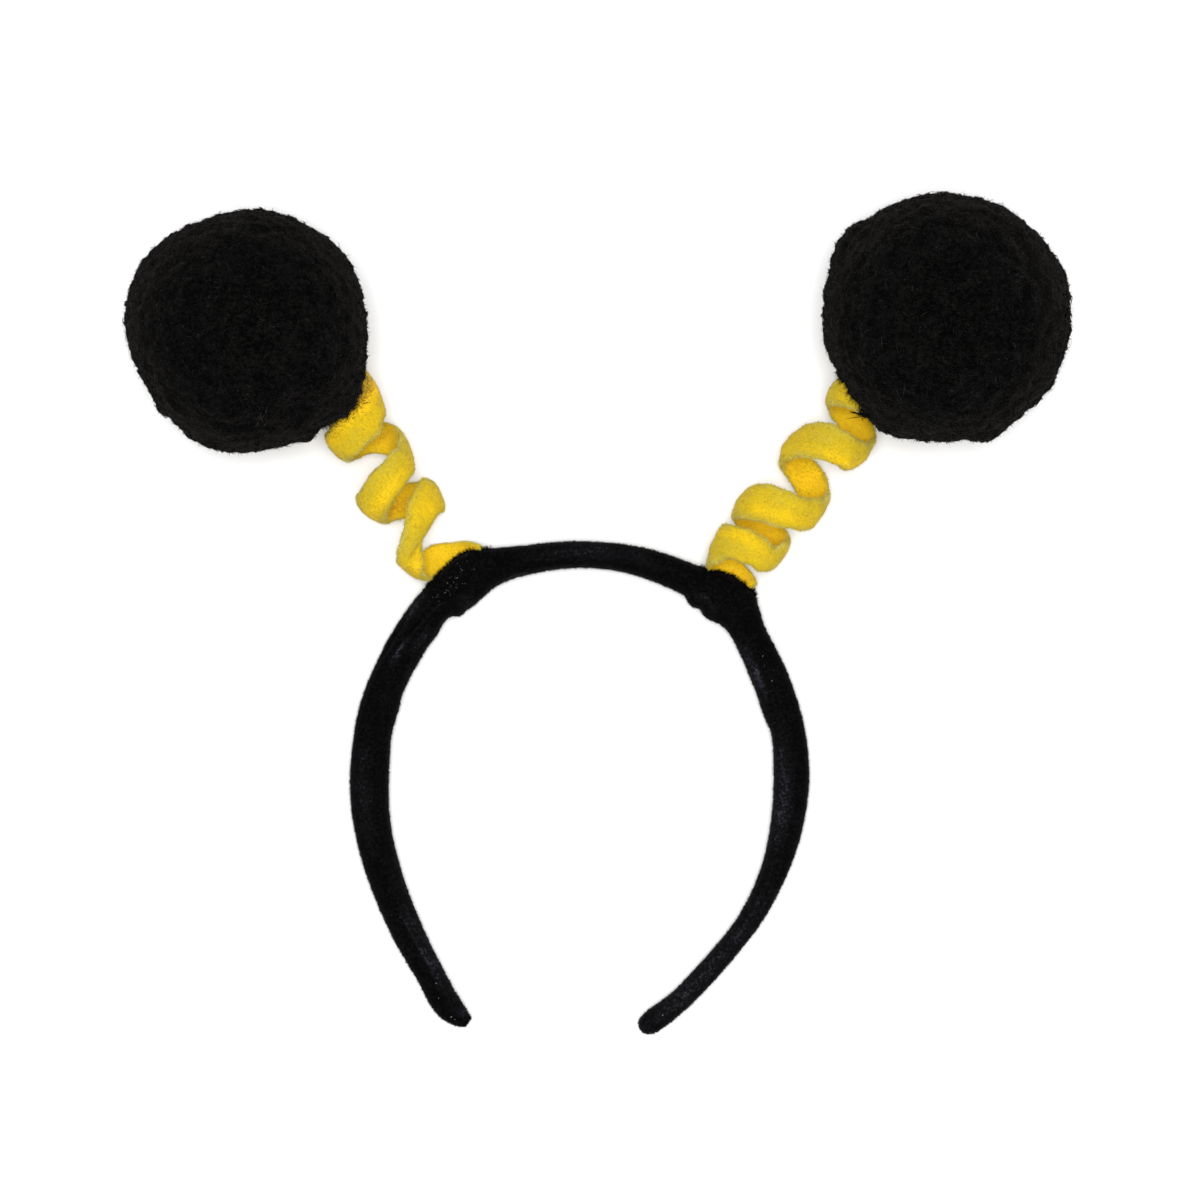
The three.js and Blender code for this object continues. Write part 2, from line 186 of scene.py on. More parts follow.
# Strips: from the ball to the band, with the turns at which each starts and ends, and a row for each
# place where it swerves: turn, distance down the axis, distance out from it, lean in degrees and width
STRIP_THICK, STRIP_BOW = 2.6, 0.8
STRIP_FULLNESS = 0.7  # as for the sleeve, so that the strip is flat with rounded edges
STRIP_WAVES = (0.22, 6.5)  # height and length of its slight waves
STRIP_PUCKER = 0.35  # how far its edges pucker in and out
STRIP_STAND = 0.2  # how far the nap stands off its backing
PUCKER_POWER, PALE_POWER, FUZZ_POWER = 5, 6, 8  # how closely each of these keeps to its edges
FACE_FUZZ = 0.025  # how thickly fuzz grows on its faces, as a share of that at its edges
WAVE_SEED, PUCKER_SEED = 5, 6
STRIP_STEPS_PER_TURN, STRIP_SIDES = 130, 48
COILS = {
    "left": {
        "top": (-66.6, 109.35, 19.0),
        "foot": (-35.3, 60.4, 11.5),
        "first": -0.35,
        "last": 2.93,
        "windings": [
            (-0.5, -2.0, 8.5, 0, 9.6),
            (0.0, 7.0, 8.0, 12, 10.8),
            (0.25, 11.8, 8.5, 2, 12.0),
            (0.4, 14.2, 8.5, 4, 9.8),
            (0.5, 14.8, 7.7, 6, 9.6),
            (0.75, 17.9, 8.4, 28, 9.4),
            (1.0, 25.4, 6.4, 12, 8.4),
            (1.25, 28.4, 8.6, 8, 9.4),
            (1.5, 34.1, 9.4, 20, 9.6),
            (2.0, 40.0, 7.1, 6, 9.4),
            (2.15, 39.6, 7.6, 14, 11.4),
            (2.35, 46.4, 8.0, 54, 7.0),
            (2.5, 52.8, 8.6, 30, 8.2),
            (2.75, 57.1, 8.6, 16, 9.2),
            (3.0, 63.2, 9.8, 8, 7.6),
        ],
    },
    "right": {
        "top": (82.3, 110.9, 19.0),
        "foot": (38.1, 58.6, 11.5),
        "first": 0.05,
        "last": 3.92,
        "windings": [
            (0.0, 1.0, 8.6, 6, 9.6),
            (0.5, 10.9, 8.1, 10, 8.4),
            (0.75, 14.0, 8.4, 6, 9.6),
            (1.0, 19.8, 7.7, 0, 9.2),
            (1.25, 22.0, 8.3, 2, 10.0),
            (1.41, 26.4, 7.1, 10, 9.8),
            (1.5, 30.2, 7.7, 18, 8.8),
            (1.75, 34.2, 8.6, 10, 9.4),
            (2.0, 39.2, 8.8, -10, 9.4),
            (2.3, 45.4, 8.2, 8, 10.6),
            (2.5, 50.5, 7.6, 10, 9.0),
            (3.0, 54.9, 8.3, -8, 9.4),
            (3.1, 57.3, 8.2, -2, 7.6),
            (3.2, 57.5, 7.6, 6, 9.6),
            (3.3, 59.0, 6.9, 14, 10.0),
            (3.5, 63.6, 5.2, 24, 9.6),
            (4.0, 70.4, 9.8, 0, 10.6),
        ],
    },
}

# Creases on the outside of a strip: depth, half width, and a path of turns and shares across it from -1 at
# the edge nearer the ball to 1
STRIP_CREASES = {
    "left": [
        (0.9, 1.2, [(2.31, 1.0), (2.37, 0.4), (2.44, 0.0)]),
    ],
    "right": [
        (0.6, 1.0, [(1.06, 0.25), (1.25, 0.1), (1.46, -0.1)]),
        (0.6, 1.0, [(2.04, 0.35), (2.25, 0.05), (2.44, -0.15)]),
        (0.4, 1.0, [(3.1, 0.1), (3.25, 0.0), (3.4, 0.1)]),
    ],
}

# Painted light and shade on a strip's velour: darker in the ball's shadow, in shaded recesses and at a
# fold, lighter where it bulges towards the light: turn, face (1 outside, -1 inside), share across, half
# length in turns, half width and shift of tone
PAINTED_STRIP_SHADING = {
    "left": [
        (0.12, 1, -1.0, 0.45, 1.3, -0.6),
        (0.2, 1, 0.6, 0.22, 0.7, -0.1),
        (0.72, -1, -0.3, 0.22, 1.4, -0.09),
        (1.3, 1, 0.4, 0.25, 0.9, -0.15),
        (1.68, -1, 0.3, 0.2, 1.3, -0.1),
        (2.12, 1, 0.1, 0.22, 1.2, -0.16),
        (2.44, 1, 0.7, 0.09, 0.6, -0.3),
    ],
    "right": [
        (1.18, 1, 0.6, 0.3, 0.7, -0.18),
        (2.22, 1, 0.45, 0.3, 0.75, -0.18),
        (3.27, 1, -0.6, 0.26, 0.7, -0.15),
        (3.58, -1, -0.2, 0.12, 1.5, -0.18),
    ],
}

# Balls: centre, radius, and dents as degrees round from +X, degrees up, depth and half width in degrees
POMPOMS = {
    "left": {
        "centre": (-88.8, 123.3, 32.9),
        "radius": 33.7,
        "dents": [
            (5, 0, 0.6, 26),
            (40, 5, -0.6, 22),
            (108, 0, 0.8, 26),
            (150, 5, -1.0, 22),
            (212, 0, 2.4, 40),
            (221, 0, -1.2, 10),
            (282, 0, 0.8, 20),
            (301, 0, -0.8, 9),
            (305, 38, 2.0, 14),
            (324, 0, -2.4, 18),
            (340, 0, -0.9, 10),
        ],
    },
    "right": {
        "centre": (97.7, 127.0, 33.5),
        "radius": 34.3,
        "dents": [
            (40, 45, 1.2, 20),
            (20, 0, -0.9, 13),
            (45, 0, 0.9, 20),
            (80, 0, 1.7, 12),
            (142, 0, -2.2, 21),
            (180, 0, 1.1, 14),
            (212, 0, 1.2, 22),
            (242, 0, -1.6, 18),
            (270, 10, 1.0, 12),
            (290, 0, -2.0, 12),
            (310, 0, 0.7, 8),
            (326, 0, -0.7, 9),
        ],
    },
}
LOCK_COUNT, LOCK_REACH = 700, 0.1  # clumps of pile, and half the width of one in radians
LOCK_STRAY = LOCK_REACH / 3  # how far a clump strays from an even spacing
LOCK_RISE, LOCK_SHARES = 1.0, (0.3, 1.0)  # height of a clump, and least and most share of it
GOLDEN_ANGLE = math.pi * (3 - math.sqrt(5))
PILE_STAND = 0.6  # how far the pile stands off its backing
CLUMP_WAVES = (0.3, 2.6)  # height and length of the waves within a clump
SWIRL_WIDTH = 7.0  # how far the curls keep to one swirl
SWIRL_STRAY, CURL_SIDEWAYS = 0.5, 0.5  # how far a curl strays from its swirl, and bends to its side
CURL_LIFT, STRAY_LIFT = 0.8, 1.6  # how steeply a curl and a stray fibre leave the backing
FUZZ_BEND, TUFT_BEND = 0.3, 0.2  # how far the fuzz and the tufts bend
BALL_SUBDIVISIONS = 6
BALL_SEED = 21

# Tufts that stand out from a ball: degrees round from +X and up, the degrees round and up that they
# grow towards, and their length, spread and tone
TUFTS = {
    # The left ball's pale tufts are a painted highlight on a lit clump of pile; the right ball's are dark
    # fibres
    "left": [(283, 44, 262, 40, 3.0, 0.8, 0.85), (279, 42, 320, 60, 2.6, 0.8, 0.8)],
    "right": [(233, 6, 174, 14, 7.2, 0.3, 0.1), (233, 5, 168, 18, 6.0, 0.3, 0.1)],
}
SHED_REACH = 5.0  # how far over its strip a ball sheds fuzz

HEADING_STEP = 0.05  # how far each way along a table a path's heading is measured
WANDER_WAVES, WANDER_RATES = 9, (0.6, 1.5)  # waves in a smooth random value, and their least and most rate
WANDER_SIZE = 4  # what their sum mostly stays under

# Fibres
VELVET_NAP = Pile(28000, (0.35, 0.65), (0.13, 0.2), sway=0.5)
VELVET_FRINGE = Pile(700, (0.6, 1.4), (0.18, 0.3), sway=0.3)
LINT_FIBRES = Pile(LINT_COUNT + SPECK_FIBRES * len(LINT), (0.15, 0.32), (0.11, 0.18), sway=0.2)
VELOUR_NAP = Pile(28000, (0.2, 0.4), (0.12, 0.2), sway=0.6)
VELOUR_FUZZ = Pile(6500, (0.35, 0.8), (0.15, 0.24), sway=0.5)
PLUSH_CURLS = Pile(4200, (1.0, 2.2), (0.3, 0.48), rings=4)
PLUSH_FUZZ = Pile(15500, (0.45, 1.0), (0.1, 0.18), sway=0.4)
PLUSH_STRAYS = Pile(130, (2.4, 5.0), (0.15, 0.22), rings=4)
PLUSH_FRINGE = Pile(500, (0.9, 2.2), (0.14, 0.24), rings=2, sway=0.3)
PLUSH_TUFT = Pile(6, (0.7, 1.0), (0.4, 0.6), rings=4, sway=0.12)  # its lengths are shares of a tuft's
# The left ball's thick shed fuzz is real fuzz and also darkens its strip as painted shadow of the ball
PLUSH_SHED = {
    "left": Pile(1300, (0.4, 1.0), (0.09, 0.16), sway=0.8),
    "right": Pile(40, (0.4, 1.0), (0.09, 0.16), sway=0.8),
}
FRINGE_REACH, PLUSH_REACH = 2.0, 3.0  # how near to a strip the sleeve's and the ball's fringes grow
FRINGE_RISE, FRINGE_COMB = 0.6, 0.8  # how far a fringe stands up, and is combed over the strip
FIBRE_TAPER = 0.7  # how much narrower a fibre grows towards its tip
FIBRE_MAP_WIDTH = 0.002  # a fibre's width on its piece's map
FIBRE_MAP_MARGIN = 0.1  # what stays free above and below the fibres' part of the map, as a share of it
SURFACE_SHARE = 0.85  # part of a map's height that the surface under the fibres takes
BALL_MAP_RADIUS, BALL_MAP_MIDDLES = 0.24, ((0.25, 0.5), (0.75, 0.5))  # a ball's two halves on its map

# Tones: where a cloth's surface and fibres lie on its colours
VELVET_TONE, VELVET_DARK, VELVET_LIT = 0.06, (0.02, 0.3), (0.6, 0.9)
VELVET_GLOW, CREASE_GLOW = 0.5, 0.3  # how much lighter it is where it catches the light, and along a crease
VELVET_SPARKLE = 0.05  # share of lit fibres where the nap catches no light
VELVET_CATCH = 0.3  # how much greater that share is where it catches the most
LINT_TONES, SPECK_TONE = (0.5, 0.88), 1.0
# Painted light on the velour: the inside tone gives a brighter, more saturated colour as painted bounce
# light, and the edge tone and pale fuzz tones are painted sheen along the strip's edges
VELOUR_OUTSIDE, VELOUR_INSIDE, VELOUR_EDGE = 0.59, 0.32, 0.18
VELOUR_STRAY = 0.07  # how far a fibre's tone strays from that of the cloth under it
VELOUR_FUZZ_TONES = (0.8, 1.0)
# Painted shade: the tone is lower between clumps, where the pile's hollows lie in shade
PLUSH_TONE, PLUSH_LOW = 0.18, 0.6  # tone on a clump, and between clumps as a share of that
CURL_TONES, LIT_CURL_TONES, LIT_CURLS = (0.0, 0.25), (0.42, 0.7), 0.4
PLUSH_FUZZ_TONES, STRAY_TONES = (0.05, 0.45), (0.75, 0.95)
FRINGE_TONES = (0.05, 0.3)
# A fibre's tone at its root, as a share of that at its tip
BLACK_ROOTS, YELLOW_ROOTS, LINT_ROOTS = 0.5, 0.92, 1.0

CLOTHS = {
    "velvet": Cloth(
        colours=[
            (0.0, (0.0011, 0.0011, 0.0011)),
            (0.45, (0.005, 0.005, 0.0058)),
            (0.8, (0.029, 0.0292, 0.036)),
            (1.0, (0.6, 0.56, 0.46)),
        ],
        mottles=[(160.0, 0.08), (1300.0, 0.26)],
        grain_scale=2600.0,
        grain_depth=0.0003,
        roughness=(0.8, 1.0),
        constants={
            "Specular IOR Level": 0.02,
            "Sheen Weight": 0.012,
            "Sheen Roughness": 0.35,
            "Sheen Tint": (0.9, 0.9, 1.0, 1.0),
        },
    ),
    "velour": Cloth(
        # Low tones are painted shade: dark brown for the ball's shadow and orange-brown for shaded
        # recesses; 0.3 is the inside's painted bounce light, and the pale top tones are painted sheen
        colours=[
            (0.0, (0.26, 0.155, 0.013)),
            (0.15, (0.58, 0.335, 0.012)),
            (0.3, (0.82, 0.53, 0.014)),
            (0.45, (0.64, 0.43, 0.0075)),
            (0.65, (0.485, 0.356, 0.0155)),
            (0.85, (0.53, 0.445, 0.06)),
            (1.0, (0.75, 0.7, 0.27)),
        ],
        mottles=[(110.0, 0.07), (1400.0, 0.09)],
        grain_scale=2200.0,
        grain_depth=0.00004,
        roughness=(0.75, 0.95),
        constants={
            "Specular IOR Level": 0.06,
            "Sheen Weight": 0.16,
            "Sheen Roughness": 0.4,
            "Sheen Tint": (1.0, 0.95, 0.6, 1.0),
        },
        knit=(0.8, 0.9, 0.1),
    ),
    "plush": Cloth(
        colours=[
            (0.0, (0.0009, 0.0009, 0.0009)),
            (0.45, (0.0066, 0.0063, 0.006)),
            (0.8, (0.028, 0.026, 0.0248)),
            (1.0, (0.09, 0.085, 0.08)),
        ],
        mottles=[(170.0, 0.1), (800.0, 0.16), (2400.0, 0.2)],
        grain_scale=1800.0,
        grain_depth=0.0006,
        roughness=(0.85, 1.0),
        constants={
            "Specular IOR Level": 0.01,
            "Sheen Weight": 0.035,
            "Sheen Roughness": 0.25,
            "Sheen Tint": (1.0, 0.9, 0.84, 1.0),
        },
    ),
}

# Shader textures
GRAIN_DETAIL, MOTTLE_DETAIL = 2.0, 3.0
NOISE_MIDDLE = (0.3, 0.7)  # where most of a noise's values lie
WAVE_PERIOD = math.pi / 10  # length of a wave texture's period at a scale of 1
KNIT_DISTORTION = 3.0

# Studio: place and aim in metres, side in metres, and power in watts
FLOOR_SIDE, FLOOR_GAP = 6.0, 0.0002
FLOOR_COLOURS = [(0.3, (0.9, 0.9, 0.9)), (0.7, (0.92, 0.92, 0.92))]
FLOOR_MOTTLE, FLOOR_ROUGHNESS, FLOOR_SHINE = 6.0, 0.8, 0.1
WORLD_LIGHT = 0.8
LIGHTS = [
    ("key", (0.0, 0.0, 2.2), (0, 0, 0), 0.8, 40.0),
]

SEED = 8
rng = np.random.default_rng(SEED)


# Numbers and shapes

@dataclass
class Surface:
    """A closed mesh: points, triangles, map corners, cloth coordinates and tone."""
    points: np.ndarray
    faces: np.ndarray
    places: np.ndarray
    cloth: np.ndarray
    tone: np.ndarray


def join(*surfaces):
    """One surface of several."""
    starts = np.cumsum([0] + [len(s.points) for s in surfaces])
    return Surface(
        np.vstack([s.points for s in surfaces]),
        np.vstack([s.faces + start for s, start in zip(surfaces, starts)]),
        np.vstack([s.places for s in surfaces]),
        np.vstack([s.cloth for s in surfaces]),
        np.concatenate([s.tone for s in surfaces]),
    )


def smooth_table(rows, places):
    """Each column after the first, on a smooth curve through the rows, at places along the first."""
    table = np.array(rows, float)
    knots, values = table[:, 0], table[:, 1:]
    places = np.asarray(places, float)
    slopes = np.diff(values, axis=0) / np.diff(knots)[:, None]
    tangents = np.vstack([slopes[:1], (slopes[1:] + slopes[:-1]) / 2, slopes[-1:]])
    row = np.clip(np.searchsorted(knots, places, side="right") - 1, 0, len(knots) - 2)
    gap = (knots[row + 1] - knots[row])[:, None]
    share = (places - knots[row])[:, None] / gap
    left = 1 - share
    return (
        values[row] * (1 + 2 * share) * left**2
        + values[row + 1] * (1 + 2 * left) * share**2
        + gap * share * left * (tangents[row] * left - tangents[row + 1] * share)
    ).T


def unit(vectors):
    return vectors / np.linalg.norm(vectors, axis=-1, keepdims=True)


def hill(distance, half_width):
    """A soft hill, 1 at its middle and 0 past its half width."""
    share = np.minimum(np.abs(distance) / half_width, 1)
    return (1 - share**2) ** 2


def wander(points, wavelength, seed):
    """A smooth random value, mostly between -1 and 1, that changes over a wavelength."""
    draw = np.random.default_rng(seed)
    waves = unit(draw.normal(size=(WANDER_WAVES, 3))) * draw.uniform(*WANDER_RATES, (WANDER_WAVES, 1))
    phases = draw.uniform(0, 2 * math.pi, WANDER_WAVES)
    return np.sin(points @ waves.T * (2 * math.pi / wavelength) + phases).sum(-1) / WANDER_SIZE


def squared(value, power):
    return np.sign(value) * np.abs(value) ** power


def tube_faces(steps, sides):
    """Triangles and map corners of a closed tube of rings, with a middle point to cap each end."""
    ring, side = (v.ravel() for v in np.indices((steps - 1, sides)))
    corners = [(ring, side), (ring + 1, side), (ring + 1, side + 1), (ring, side + 1)]
    index = [r * sides + s % sides for r, s in corners]
    place = [np.stack([r / (steps - 1), s / sides], 1) for r, s in corners]
    halves = ((0, 2, 1), (0, 3, 2))
    faces = [np.stack([index[k] for k in half], 1) for half in halves]
    places = [np.stack([place[k] for k in half], 1) for half in halves]
    around = np.arange(sides)
    for end, middle, way in ((0, steps * sides, -1), (steps - 1, steps * sides + 1, 1)):
        rim = [end * sides + around, end * sides + (around + 1) % sides]
        faces.append(np.stack([np.full(sides, middle), *rim[::way]], 1))
        spot = np.stack([np.full(sides, end / (steps - 1)), around / sides], 1)
        places.append(np.stack([spot] * 3, 1))
    return np.vstack(faces), np.vstack(places)


def tube(rings, along, across, tone):
    """A closed tube through rings of points, with cloth coordinates along it and across it."""
    faces, places = tube_faces(*rings.shape[:2])

    def capped(values):
        return np.concatenate([values.reshape(-1, *values.shape[2:]), values[:1, 0], values[-1:, 0]])

    points = capped(rings)
    points[-2:] = rings[0].mean(0), rings[-1].mean(0)
    cloth = np.stack([along, across, np.zeros_like(along)], -1)
    places[..., 1] *= SURFACE_SHARE
    return Surface(points, faces, places, capped(cloth), capped(tone))


def vertex_normals(surface):
    one, two, three = (surface.points[surface.faces[:, k]] for k in range(3))
    face_normals = np.cross(two - one, three - one)
    normals = np.zeros_like(surface.points)
    for k in range(3):
        np.add.at(normals, surface.faces[:, k], face_normals)
    return unit(normals)


def scatter(surface, count, weight=None):
    """Random roots on a surface, by area times weight: points, normals, cloth coordinates and tones."""
    corners = surface.points[surface.faces]
    area = np.linalg.norm(np.cross(corners[:, 1] - corners[:, 0], corners[:, 2] - corners[:, 0]), axis=1)
    if weight is not None:
        area = area * weight[surface.faces].mean(1)
    face = rng.choice(len(area), count, p=area / area.sum())
    share = rng.dirichlet((1, 1, 1), count)[:, :, None]
    chosen = surface.faces[face]
    normals = vertex_normals(surface)
    roots, out, cloth = (
        (values[chosen] * share).sum(1) for values in (surface.points, normals, surface.cloth)
    )
    return roots, unit(out), cloth, (surface.tone[chosen] * share[..., 0]).sum(1)


def nearest(points, others):
    """For each point the index of the nearest of some others, and its distance."""
    tree = KDTree(len(others))
    for index, other in enumerate(others):
        tree.insert(other, index)
    tree.balance()
    found = [tree.find(point) for point in points]
    return np.array([index for _, index, _ in found]), np.array([gap for _, _, gap in found])


def fibres(pile, roots, directions, bends, tones, cloth, root_tone):
    """Closed three-sided fibres that taper from rings of points to a tip."""
    count, rings = len(roots), pile.rings
    length = rng.uniform(*pile.length, count)[:, None, None]
    widths = rng.uniform(*pile.width, count)
    side = unit(np.cross(directions, unit(rng.normal(size=(count, 3)))))
    other = np.cross(directions, side)
    run = np.append(np.arange(rings) / rings, 1.0)
    line = roots[:, None] + length * (
        directions[:, None] * run[:, None] + bends[:, None] * run[:, None] ** 2
    )
    turn = np.arange(3) * (2 * math.pi / 3)
    spread = side[:, None] * np.cos(turn)[:, None] + other[:, None] * np.sin(turn)[:, None]
    radius = widths[:, None] / 2 * (1 - FIBRE_TAPER * run[:-1])
    ring_points = line[:, :-1, None] + radius[:, :, None, None] * spread[:, None]
    points = np.concatenate([ring_points.reshape(count, -1, 3), line[:, -1:]], 1)
    points[..., 2] = np.maximum(points[..., 2], 0)
    per_fibre = points.shape[1]
    pattern = [(0, 2, 1)]
    for ring in range(rings - 1):
        for k in range(3):
            a, b = ring * 3 + k, ring * 3 + (k + 1) % 3
            pattern += [(a, b, b + 3), (a, b + 3, a + 3)]
    last = (rings - 1) * 3
    pattern += [(last + k, last + (k + 1) % 3, per_fibre - 1) for k in range(3)]
    faces = np.array(pattern)[None] + (np.arange(count) * per_fibre)[:, None, None]
    height = np.append(np.repeat(run[:-1], 3), 1.0)
    tone = tones[:, None] * (root_tone + (1 - root_tone) * height)
    beside = np.append(np.tile((-1.0, 0.0, 1.0), rings), 0.0) * FIBRE_MAP_WIDTH
    across = FIBRE_MAP_WIDTH + (1 - 2 * FIBRE_MAP_WIDTH) * np.clip(tones, 0, 1)[:, None] + beside
    up_share = FIBRE_MAP_MARGIN + (1 - 2 * FIBRE_MAP_MARGIN) * height
    up = SURFACE_SHARE + (1 - SURFACE_SHARE) * up_share
    places = np.stack([across, np.broadcast_to(up, across.shape)], -1).reshape(-1, 2)
    faces = faces.reshape(-1, 3)
    marked = np.column_stack([cloth[:, :2], np.ones(count)])
    return Surface(
        points.reshape(-1, 3), faces, places[faces], np.repeat(marked, per_fibre, 0), tone.ravel()
    )


def sway(directions, spread):
    """Directions that wander at random from some others."""
    return unit(directions + rng.normal(0, spread, directions.shape))


def straight(pile, roots, directions, tones, cloth, root_tone):
    """Fibres without a bend, that sway from some directions."""
    swayed = sway(directions, pile.sway)
    return fibres(pile, roots, swayed, np.zeros_like(roots), tones, cloth, root_tone)


# The headband

def band_section(at):
    """Centre line, depth, height and the direction towards the hollow, at places along the band."""
    x, y, thick, tall = smooth_table(BAND_SECTIONS, at)
    before, after = (
        smooth_table(BAND_SECTIONS, np.clip(at + step, 0, len(BAND_SECTIONS) - 1))[:2]
        for step in (-HEADING_STEP, HEADING_STEP)
    )
    heading = unit(np.column_stack([*(after - before), np.zeros_like(at)]))
    return np.column_stack([x, y, np.zeros_like(x)]), thick, tall, np.cross(UP, heading)


def band_outline():
    """Shares across and up of the sleeve's section, set evenly round it and closer above than below."""
    angle = np.linspace(0, 2 * math.pi, OUTLINE_FINENESS * BAND_SIDES + 1)
    outline = np.stack([squared(np.cos(angle), BAND_FULLNESS), squared(np.sin(angle), BAND_FULLNESS)])
    step = np.linalg.norm(np.diff(outline, axis=1), axis=0)
    step *= np.where(np.sin(angle[1:]) > 0, 1.0, BAND_UNDERSIDE)
    run = np.concatenate([[0], np.cumsum(step)])
    places = (np.arange(BAND_SIDES) + 0.5) / BAND_SIDES * run[-1]
    return tuple(np.interp(places, run, values) for values in outline)


def crease_depth(creases, at, share, thick, beside=0.0):
    """How far a cloth sinks into its creases, or beside them, at places along it and shares across it."""
    sunk = np.zeros((len(at), len(share)))
    for depth, half_width, path in creases:
        places, shares = np.array(path).T
        progress = np.clip((at - places[0]) / (places[-1] - places[0]), 0, 1)
        gap = (share - np.interp(at, places, shares)[:, None]) * thick[:, None] / 2 - beside
        sunk += depth * np.sqrt(np.sin(math.pi * progress))[:, None] * hill(gap, half_width)
    return sunk


def nap_light(at, share):
    """How far the nap catches the light at places along and across the band."""
    return np.max([
        strength * hill(at - place, half_length) * hill(share - middle, half_width)
        for place, middle, half_length, half_width, strength in NAP_LIGHTS
    ], axis=0)


def band_surface():
    """The velvet sleeve, with its gathers, its creases and the slight waves of cloth on a stiff band."""
    last = len(BAND_SECTIONS) - 1
    at = np.linspace(0, last, BAND_STEPS)
    centre, thick, tall, inward = band_section(at)
    in_share, up_share = band_outline()
    depth = in_share * (thick[:, None] / 2 - BAND_STAND)
    for place, side, rise, span in BAND_FOLDS:
        depth += side * rise * np.maximum(in_share * side, 0) * hill(at - place, span)[:, None]
    rings = centre[:, None] + depth[..., None] * inward[:, None]
    rings[..., 2] = BAND_MIDDLE + up_share * (tall[:, None] / 2 - BAND_STAND)
    out = unit(in_share[:, None] * inward[:, None] + up_share[:, None] * UP)
    lift = -crease_depth(BAND_CREASES, at, in_share, thick) * (up_share > 0)
    for seed, (height, length) in enumerate(BAND_WAVES, start=BAND_SEED):
        lift = lift + height * wander(rings, length, seed)
    rings += out * lift[..., None]
    rings[..., 2] = np.maximum(rings[..., 2], 0)
    shape = rings.shape[:2]
    along, across = np.broadcast_to(at[:, None], shape), np.broadcast_to(in_share, shape)
    glow = VELVET_GLOW * nap_light(at[:, None], in_share)
    glow += CREASE_GLOW * np.abs(crease_depth(BAND_CREASES, at, in_share, thick, CREASE_RIM))
    return tube(rings, along, across, VELVET_TONE + glow * (up_share > 0))


def fringe(pile, base, strip, reach, way):
    """Longer pile round the place where a strip leaves a piece, combed along a way over it."""
    _, gap = nearest(base.points, strip.points)
    roots, out, cloth, _ = scatter(base, pile.count, (gap < reach).astype(float))
    directions = sway(FRINGE_RISE * out + FRINGE_COMB * way, pile.sway)
    tones = rng.uniform(*FRINGE_TONES, len(roots))
    return fibres(pile, roots, directions, np.zeros_like(roots), tones, cloth, BLACK_ROOTS)


def lint(base):
    """Pale specks that lie on the sleeve."""
    length_way = np.array([math.cos(LINT_SLANT), math.sin(LINT_SLANT)])
    width_way = np.array([-math.sin(LINT_SLANT), math.cos(LINT_SLANT)])
    offsets = rng.normal(size=(LINT_COUNT, 2)) * LINT_SPREAD
    cluster = np.array(LINT_CLUSTER) + offsets @ np.stack([length_way, width_way])
    pixels = np.vstack([np.repeat(LINT, SPECK_FIBRES, axis=0), cluster])
    spots = np.zeros((len(pixels), 3))
    spots[:, :2] = (pixels - PHOTO_HOLLOW) * (PIXEL, -PIXEL)
    normals = vertex_normals(base)
    above = np.flatnonzero(normals[:, 2] > LINT_FACING)
    chosen = above[nearest(spots, base.points[above] * (1, 1, 0))[0]]
    out = normals[chosen]
    lying = sway(np.cross(out, unit(rng.normal(size=out.shape))), LINT_FIBRES.sway)
    roots = base.points[chosen] + LINT_LIFT * out
    tones = rng.uniform(*LINT_TONES, len(roots))
    tones[:-LINT_COUNT] = SPECK_TONE
    cloth = base.cloth[chosen]
    return fibres(LINT_FIBRES, roots, lying, np.zeros_like(roots), tones, cloth, LINT_ROOTS)


def headband(strips):
    base = band_surface()
    roots, out, cloth, _ = scatter(base, VELVET_NAP.count)
    count = len(roots)
    lit = rng.random(count) < VELVET_SPARKLE + VELVET_CATCH * nap_light(cloth[:, 0], cloth[:, 1])
    tones = np.where(lit, rng.uniform(*VELVET_LIT, count), rng.uniform(*VELVET_DARK, count))
    nap = straight(VELVET_NAP, roots, out, tones, cloth, BLACK_ROOTS)
    fringes = [
        fringe(VELVET_FRINGE, base, strip, FRINGE_REACH, -coil_axis(COILS[side]))
        for side, strip in strips.items()
    ]
    piece = add_piece("headband_velvet", join(base, nap, *fringes, lint(base)), "velvet")
    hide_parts("headband")


# The strips

def coil_axis(row):
    """The direction of a coil from the ball to the band."""
    return unit(np.subtract(row["foot"], row["top"]))


def strip_outline():
    """Shares across and out of a strip's section."""
    angle = np.arange(STRIP_SIDES) / STRIP_SIDES * 2 * math.pi
    return squared(np.cos(angle), STRIP_FULLNESS), squared(np.sin(angle), STRIP_FULLNESS)


def strip_tone(turn, painted_shading):
    """The velour's tone round a strip at each turn: painted shade and light in places, a brighter inside as
    painted bounce light, and paler edges as painted sheen.
    """
    share, face = strip_outline()
    # The inside's tone gives it a brighter, more saturated painted bounce light; the paler edges are
    # painted sheen
    tone = np.where(face < 0, VELOUR_INSIDE, VELOUR_OUTSIDE) + VELOUR_EDGE * share**PALE_POWER
    tone = np.tile(tone, (len(turn), 1))
    # Painted shade and painted light from the table
    for place, side, middle, half_length, half_width, shift in painted_shading:
        near = hill(turn - place, half_length)[:, None] * hill(share - middle, half_width)
        tone += shift * near * (face * side >= 0)
    return tone


